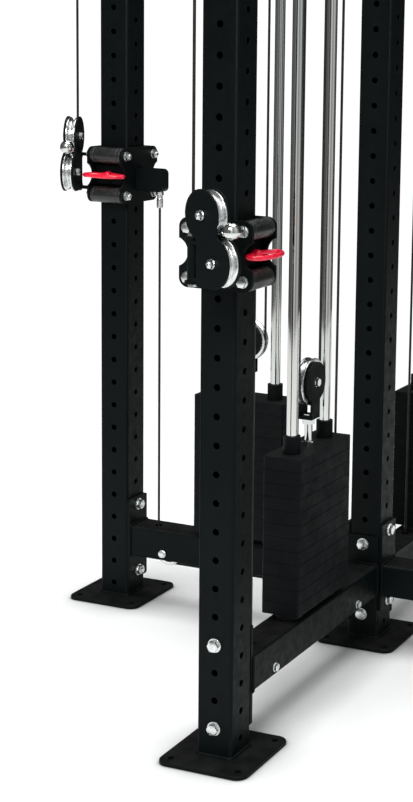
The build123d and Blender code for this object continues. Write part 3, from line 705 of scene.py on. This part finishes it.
def threads(shape, at, radius, start, end, pitch=1.75 * MM):
    """A bolt's threaded end along Z."""
    count = max(1, round(abs(end - start) / pitch))
    step = (end - start) / count
    depth = pitch * 0.5
    profile = [(radius - depth, start)]
    for k in range(count):
        profile += [(radius, start + (k + 0.35) * step), (radius, start + (k + 0.5) * step)]
        profile.append((radius - depth, start + (k + 0.9) * step))
    profile.append((radius - depth * 1.6, end + step * 0.4))
    shape.loft(turned(profile, SMALL), at)


def bolt_and_nut(shape, at, radius, flats, head, washer_r, washer_t, grip):
    """A hexagon bolt at a face (z 0 of at, head upwards) and its nut on the far face (z -grip)."""
    washer(shape, at, radius * 0.9, washer_r, washer_t)
    shape.loft(hexagon_rings(flats, head), at @ shift(0, 0, washer_t))
    shape.loft(turned([(radius, -grip), (radius, washer_t)], SMALL), at)
    below = at @ shift(0, 0, -grip) @ turn(180, "X")
    washer(shape, below, radius * 0.9, washer_r, washer_t)
    shape.loft(hexagon_rings(flats, head, True), below @ shift(0, 0, washer_t))
    threads(shape, below, radius, washer_t + head - 1 * MM, washer_t + head + BOLT_END)


def frame_fasteners():
    shape = Shape()
    for arm in ARMS:
        lying = arm_frame(arm)
        for beam in (BASE_BEAM_Z, TOP_BEAM_Z):
            for dz in (-FLANGE_BOLT, FLANGE_BOLT):
                at = lying @ shift(0, -HALF, beam + dz) @ turn(90, "X")
                bolt_and_nut(shape, at, *FRAME_BOLT, 2 * HALF + FLANGE_T)
        for y in (ANCHOR_Y + BASE_LINE_R, CROSS_BOLT_Y):
            at = lying @ shift(HALF, y, BASE_AXLE_Z) @ turn(90, "Y")
            bolt_and_nut(shape, at, *SMALL_BOLT, 2 * HALF)
        for y in (OUTER_Y + LINE_R, STACK_Y - STACK_LINE_R - LINE_R, STACK_Y + STACK_LINE_R + LINE_R):
            at = lying @ shift(CHANNEL_OUT, y, TOP_PULLEY_Z) @ turn(90, "Y")
            bolt_and_nut(shape, at, *SMALL_BOLT, 2 * CHANNEL_OUT)
    face = HALF + FLANGE_T
    for beam, side in ((BASE_BEAM_Z, SIDE_SHIFT), (TOP_BEAM_Z, -SIDE_SHIFT)):
        for dz in (-FLANGE_BOLT, FLANGE_BOLT):
            bolt_and_nut(shape, shift(0, -face, beam + dz) @ turn(90, "X"), *FRAME_BOLT, 2 * face)
            bolt_and_nut(shape, shift(face, 0, beam + dz + side) @ turn(90, "Y"), *FRAME_BOLT, 2 * face)
    return shape.mesh("frame_fasteners", [ZINC])


place("frame_fasteners", frame_fasteners(), "root", None, ["frame_bolts"])


# ---- trolley and head details -------------------------------------------------------------------
def roller_mesh():
    """A crowned roller about Z with recessed ends and a steel bush."""
    end = ROLLER_HALF
    r = ROLLER_R
    half = [
        (9 * MM, end - 1.5 * MM), (13 * MM, end - 1.5 * MM), (13.6 * MM, end), (r - 1.6 * MM, end),
        (r, end - 1.8 * MM), (r, end - 9 * MM), (r - 0.5 * MM, end - 9.6 * MM), (r - 0.5 * MM, end - 11 * MM),
        (r, end - 11.6 * MM),
    ]
    profile = half + [(rr, -z) for rr, z in reversed(half)]
    shape = Shape()
    shape.loft(turned(softened(profile, 0.8 * MM), ROUND), closed=True)
    bush = [(6.1 * MM, -end), (9 * MM, -end), (9 * MM, end), (6.1 * MM, end)]
    shape.loft(turned(softened(bush, 0.5 * MM), ROUND), closed=True, slot=1)
    return shape.mesh("roller", [ROLLER, ZINC])


def trolley_fasteners(arm, origin):
    """The roller bolts, and the rope's end fitting: a threaded stud, a crimped sleeve and two nuts."""
    shape = Shape()
    for x in (-ROLLER_X, ROLLER_X):
        for z in (-ROLLER_Z, ROLLER_Z):
            at = origin @ shift(x, -PLATE_OUT, z) @ turn(90, "X")
            bolt_and_nut(shape, at, *ROLLER_BOLT, 2 * PLATE_OUT)
    below = origin @ shift(0, ANCHOR_Y, 0)
    stud_low, stud_high = -58 * MM, -20.5 * MM
    stud = [(CABLE_R, stud_low), (7 * MM, stud_low), (7 * MM, -22 * MM)]
    stud += [(5.5 * MM, stud_high), (CABLE_R, stud_high)]
    shape.loft(turned(stud, SMALL), below)
    threads(shape, below, 7.2 * MM, -33 * MM, -22.5 * MM)
    sleeve_low, sleeve_high = -ANCHOR_DROP, -56 * MM
    sleeve = [(CABLE_R, sleeve_low), (6.4 * MM, sleeve_low), (8 * MM, sleeve_low + 2 * MM)]
    sleeve += [(8 * MM, stud_low), (6.8 * MM, sleeve_high), (CABLE_R, sleeve_high)]
    shape.loft(turned(softened(sleeve, 1 * MM), ROUND), below)
    nut_flats, nut_height = 17 * MM, 9 * MM
    for z in (-34 * MM, -49 * MM):
        shape.loft(hexagon_rings(nut_flats, nut_height, True), below @ shift(0, 0, z))
    return shape.mesh(f"{arm}_trolley_fasteners", [ZINC])


def pull_ring_mesh(arm, origin):
    """The dipped oval ring and its boss, with the steel pin behind it."""
    centre_x, semi_x, semi_y, wire = 83 * MM, 24 * MM, 54 * MM, 5.2 * MM
    steps = 96
    oval = []
    for k in range(steps):
        a = 2 * math.pi * k / steps
        oval.append((centre_x + semi_x * math.cos(a), semi_y * math.sin(a), 0))

    def swell(t):
        return 1.0 + 0.04 * math.sin(2 * math.pi * 5 * t) + 0.22 * math.exp(-((t - 0.5) / 0.045) ** 2)

    shape = Shape()
    shape.loft(looped(oval, wire, SMALL, swell), origin, closed=True, slot=0)
    along = origin @ turn(90, "Y")
    boss = [(3, 57), (8.6, 57), (10, 58.5), (10, 68), (8.6, 72), (5.5, 74.5), (3, 75)]
    shape.loft(turned(softened([(r * MM, z * MM) for r, z in boss], 1.2 * MM, False), ROUND), along, slot=0)
    pin = [(3.6, 27), (6, 29.5), (6, 58)]
    shape.loft(turned([(r * MM, z * MM) for r, z in pin], ROUND), along, slot=1)
    return shape.mesh(f"{arm}_pull_ring", [RED, ZINC], 50)


def ball_mesh():
    """The ball end about Z, which points along the pull: the ball and its stepped neck."""
    sleeve = [(5.2, -30.5), (6, -29), (6, -22), (5.4, -21.4), (5.4, -19.6), (6, -19), (6, -16.5)]
    neck = [(CABLE_R, -NECK), (CABLE_R, -31 * MM)] + [(r * MM, z * MM) for r, z in sleeve]
    start = math.asin(6.6 * MM / BALL_R)
    steps = 48
    ball = []
    for k in range(steps + 1):
        a = start + (math.pi - start) * k / steps
        ball.append((BALL_R * max(math.sin(a), 0.002), -BALL_R * math.cos(a)))
    shape = Shape()
    shape.loft(turned(neck + ball, 64))
    return shape.mesh("ball_end", [BALL_CHROME], 35)


def swivel_nut(shape, at):
    """A thin nut about Z on the end of the swivel's journal."""
    rings = hexagon_rings(19 * MM, 5.5 * MM, True)
    bore = 8.05 * MM

    def bore_edge(ring):
        return [Vector((x, y, 0)).normalized() * bore + UP * z for x, y, z in ring]

    shape.loft([bore_edge(rings[0])] + rings + [bore_edge(rings[-1])], at, closed=True)


def head_fasteners(arm):
    """The head's two axle bolts, and the nuts above and below that hold its swivel."""
    shape = Shape()
    nut_gap = 0.3 * MM
    for joint in (f"{arm}_upper_pulley_spin", f"{arm}_lower_pulley_spin"):
        at = on_axis(joints[joint]["pos_m"], joints[joint]["axis"]) @ shift(0, 0, CHEEK_OUT)
        bolt_and_nut(shape, at, *SMALL_BOLT, 2 * CHEEK_OUT)
    axis = Matrix.Translation(joints[f"{arm}_head_swivel"]["pos_m"])
    for side in (0, 180):
        swivel_nut(shape, axis @ turn(side, "X") @ shift(0, 0, EAR_HIGH + nut_gap))
    return shape.mesh(f"{arm}_head_fasteners", [ZINC])


ROLLER_MESH = roller_mesh()
BALL_MESH = ball_mesh()
for arm in ARMS:
    swivel = Vector(joints[f"{arm}_head_swivel"]["pos_m"])
    origin = arm_frame(arm) @ shift(0, 0, swivel.z)
    for k, (x, z) in enumerate([(-1, -1), (-1, 1), (1, -1), (1, 1)]):
        at = origin @ shift(x * ROLLER_X, 0, z * ROLLER_Z) @ turn(90, "X")
        roller = place(f"{arm}_roller_{k}", ROLLER_MESH, f"{arm}_trolley", at)
        if k == 0:
            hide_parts(f"{arm}_guide_rollers")
    for name, data, body, slot, node in (
        ("trolley_fasteners", trolley_fasteners(arm, origin), "trolley", "zinc_bolts", "trolley_bolts"),
        ("pull_ring", pull_ring_mesh(arm, origin), "pin", "red_handle", "pull_pin"),
        ("head_fasteners", head_fasteners(arm), "head", "zinc_bolts", "head_bolts"),
    ):
        place(f"{arm}_{name}", data, f"{arm}_{body}", None, [f"{arm}_{node}"])
    pull, outward, ball = pull_line(arm)
    place(
        f"{arm}_ball_end", BALL_MESH, f"{arm}_ball",
        on_axis(ball, pull), [f"{arm}_cable_ball"],
    )


# ---- rods and bumpers ---------------------------------------------------------------------------
def guide_rods():
    shape = Shape()
    bottom = BASE_BEAM_Z + HALF
    top = TOP_BEAM_Z - HALF
    edge = 0.8 * MM
    profile = [(ROD_R - edge, bottom), (ROD_R, bottom + edge), (ROD_R, top - edge), (ROD_R - edge, top)]
    for arm in ARMS:
        for s in (-ROD_SPREAD, ROD_SPREAD):
            shape.loft(turned(profile, 64), arm_frame(arm) @ shift(0, STACK_Y + s, 0))
    return shape.mesh("guide_rods_chromed", [ROD_CHROME])


def bumper_rings():
    shape = Shape()
    low = BASE_BEAM_Z + HALF
    profile = [(13.5, 0), (30, 0), (30, 4), (28, 6), (28, 10), (30, 12), (28, 16), (13.5, 16)]
    profile = softened([(r * MM, low + z * MM) for r, z in profile], 1.5 * MM)
    for arm in ARMS:
        for s in (-ROD_SPREAD, ROD_SPREAD):
            shape.loft(turned(profile, ROUND), arm_frame(arm) @ shift(0, STACK_Y + s, 0), closed=True)
    return shape.mesh("bumper_rings", [RUBBER])


place("guide_rods_chromed", guide_rods(), "root", None, ["guide_rods"])
place("bumper_rings", bumper_rings(), "root", None, ["stack_bumpers"])


# ---- weld beads ---------------------------------------------------------------------------------
def bead_path(half_side, corner, spacing):
    """Points round a rounded square, about spacing apart."""
    flat = half_side - corner
    count = int(2 * flat / spacing)
    corner_steps = 6
    path = []
    for quarter in range(4):
        centre = Vector((flat * (1 if quarter in (0, 3) else -1), flat * (1 if quarter in (0, 1) else -1)))
        begin = math.pi / 2 * quarter
        end = begin + math.pi / 2
        for k in range(corner_steps):
            a = begin + (end - begin) * k / corner_steps
            path.append(tuple(centre + Vector((math.cos(a), math.sin(a))) * corner))
        start = centre + Vector((math.cos(end), math.sin(end))) * corner
        along = Vector((-math.sin(end), math.cos(end)))
        path += [tuple(start + along * (2 * flat * k / count)) for k in range(count)]
    return path


def weld_bead(shape, at, radius=3.6 * MM):
    """A rippled fillet weld round a square tube, lying in the corner at z 0."""
    sunk = 1.2 * MM  # the bead's centreline off the tube and off the plate
    path = [(x, y, sunk) for x, y in bead_path(HALF + sunk, 7 * MM, 1.3 * MM)]
    ripples = 84

    def swell(t):
        wave = abs(math.sin(math.pi * ripples * t))
        return 0.80 + 0.20 * wave + 0.07 * math.sin(2 * math.pi * 7.3 * t)

    shape.loft(looped(path, radius, 12, swell), at, closed=True)


def weld_beads():
    shape = Shape()
    feet = [Matrix()] + [arm_frame(arm) for arm in ARMS]
    for at in feet:
        weld_bead(shape, at @ shift(0, 0, FOOT_T))
    for arm in ARMS:
        for beam in (BASE_BEAM_Z, TOP_BEAM_Z):
            for y, facing in ((HALF + FLANGE_T, -90), (REACH - HALF - FLANGE_T, 90)):
                weld_bead(shape, arm_frame(arm) @ shift(0, y, beam) @ turn(facing, "X"))
    return shape.mesh("weld_beads", [POWDER], 60)


place("weld_beads", weld_beads(), "root")


# ---- floor, light and camera --------------------------------------------------------------------
def floor():
    data = bpy.data.meshes.new("floor")
    steps = 96
    rim = []
    for k in range(steps):
        a = 2 * math.pi * k / steps
        rim.append((FLOOR_R * math.cos(a), FLOOR_R * math.sin(a), 0))
    data.from_pydata(rim, [], [tuple(range(steps))])
    data.materials.append(studio_floor())
    piece = bpy.data.objects.new("floor", data)
    piece.location.z = -0.5 * MM
    bpy.context.scene.collection.objects.link(piece)


def soft_box(name, place_at, look_at, size, power):
    light = bpy.data.lights.new(name, "AREA")
    light.shape = "RECTANGLE"
    light.size, light.size_y = size
    light.energy = power
    holder = bpy.data.objects.new(name, light)
    bpy.context.scene.collection.objects.link(holder)
    holder.location = place_at
    direction = Vector(look_at) - Vector(place_at)
    holder.rotation_euler = direction.to_track_quat("-Z", "Y").to_euler()


def studio_world():
    """White behind the object, an even dome for light, and upright panels for shiny parts to mirror."""
    world = bpy.data.worlds.new("studio")
    bpy.context.scene.world = world
    world.use_nodes = True
    nodes, links = world.node_tree.nodes, world.node_tree.links
    nodes.clear()
    output = nodes.new("ShaderNodeOutputWorld")
    path = nodes.new("ShaderNodeLightPath")
    direction = nodes.new("ShaderNodeTexCoord")
    split = nodes.new("ShaderNodeSeparateXYZ")
    links.new(direction.outputs["Generated"], split.inputs["Vector"])
    angle = nodes.new("ShaderNodeMath")
    angle.operation = "ARCTAN2"
    links.new(split.outputs["Y"], angle.inputs[0])
    links.new(split.outputs["X"], angle.inputs[1])
    share = nodes.new("ShaderNodeMapRange")
    links.new(angle.outputs["Value"], share.inputs["Value"])
    share.inputs["From Min"].default_value = -math.pi
    share.inputs["From Max"].default_value = math.pi
    panels = nodes.new("ShaderNodeValToRGB")
    links.new(share.outputs["Result"], panels.inputs["Fac"])
    ramp = panels.color_ramp
    stops = [
        (0.00, 0.08), (0.05, 0.13), (0.10, 0.10), (0.16, 0.13), (0.21, 0.23), (0.255, 0.12), (0.285, 0.12),
        (0.300, 0.74), (0.345, 0.60), (0.385, 0.28), (0.44, 0.40), (0.49, 0.62), (0.545, 0.36), (0.61, 0.08),
        (0.70, 0.015), (0.82, 0.02), (0.94, 0.04),
    ]
    for k, (spot, grey) in enumerate(stops):
        stop = ramp.elements[k] if k < 2 else ramp.elements.new(spot)
        stop.position = spot
        stop.color = (grey, grey * 1.01, grey * 1.0, 1)
    lift = nodes.new("ShaderNodeMapRange")
    links.new(split.outputs["Z"], lift.inputs["Value"])
    for key, number in (("From Min", -0.2), ("From Max", 0.9), ("To Min", 0.95), ("To Max", 1.6)):
        lift.inputs[key].default_value = number
    dimmer = nodes.new("ShaderNodeMapRange")
    links.new(split.outputs["X"], dimmer.inputs["Value"])
    for key, number in (("From Min", -1.0), ("From Max", 1.0), ("To Min", 0.72), ("To Max", 0.34)):
        dimmer.inputs[key].default_value = number
    dome = nodes.new("ShaderNodeBackground")
    dome.inputs["Color"].default_value = (0.98, 1.0, 1.0, 1)
    links.new(dimmer.outputs["Result"], dome.inputs["Strength"])
    mirror = nodes.new("ShaderNodeBackground")
    links.new(panels.outputs["Color"], mirror.inputs["Color"])
    links.new(lift.outputs["Result"], mirror.inputs["Strength"])
    paper = nodes.new("ShaderNodeBackground")
    paper.inputs["Color"].default_value = (1, 1, 1, 1)
    paper.inputs["Strength"].default_value = 1.05
    glossy = nodes.new("ShaderNodeMixShader")
    links.new(path.outputs["Is Glossy Ray"], glossy.inputs["Fac"])
    links.new(dome.outputs["Background"], glossy.inputs[1])
    links.new(mirror.outputs["Background"], glossy.inputs[2])
    seen = nodes.new("ShaderNodeMixShader")
    links.new(path.outputs["Is Camera Ray"], seen.inputs["Fac"])
    links.new(glossy.outputs["Shader"], seen.inputs[1])
    links.new(paper.outputs["Background"], seen.inputs[2])
    links.new(seen.outputs["Shader"], output.inputs["Surface"])


EYE = Vector((1.5775, -3.4807, 1.5143))
YAW = math.radians(-18.51)
PITCH = math.radians(8.19)
ROLL = math.radians(2.16)
LENS = 70.76
SHIFT_X = -0.4134
SHIFT_Y = -0.1750
SAME_HEIGHT = 0.5 * MM  # within this the camera counts as standing at EYE


def camera():
    """The studio camera: a shifted lens, which centres itself again when the camera is moved."""
    data = bpy.data.cameras.new("camera")
    data.lens = LENS
    data.sensor_width = 36
    data.clip_end = 200
    holder = bpy.data.objects.new("camera", data)
    bpy.context.scene.collection.objects.link(holder)
    ahead = Vector((math.cos(PITCH) * math.sin(YAW), math.cos(PITCH) * math.cos(YAW), -math.sin(PITCH)))
    right = Vector((math.cos(YAW), -math.sin(YAW), 0))
    over = right.cross(ahead)
    level_right = right * math.cos(ROLL) + over * math.sin(ROLL)
    level_up = over * math.cos(ROLL) - right * math.sin(ROLL)
    axes = Matrix((level_right, level_up, -ahead)).transposed()
    holder.matrix_world = Matrix.Translation(EYE) @ axes.to_4x4()
    for channel, amount in (("shift_x", SHIFT_X), ("shift_y", SHIFT_Y)):
        curve = data.driver_add(channel)
        curve.driver.type = "SUM"
        height = curve.driver.variables.new()
        height.name = "z"
        height.type = "TRANSFORMS"
        height.targets[0].id = holder
        height.targets[0].transform_type = "LOC_Z"
        height.targets[0].transform_space = "WORLD_SPACE"
        for modifier in list(curve.modifiers):
            curve.modifiers.remove(modifier)
        steps = ((-2, 0.0), (-1, amount), (1, amount), (2, 0.0))
        curve.keyframe_points.add(len(steps))
        for point, (off, value) in zip(curve.keyframe_points, steps):
            point.co = (EYE.z + off * SAME_HEIGHT, value)
            point.interpolation = "LINEAR"
    bpy.context.scene.camera = holder


floor()
studio_world()
soft_box("key", (0.5, -4.8, 4.4), (0, 0, 0.7), (3.0, 2.0), 210)
soft_box("top", (0, 0.6, 5.2), (0, 0, 0), (4.0, 4.0), 200)
camera()
bpy.context.scene.view_settings.view_transform = "Standard"
bpy.context.scene.view_settings.look = "None"
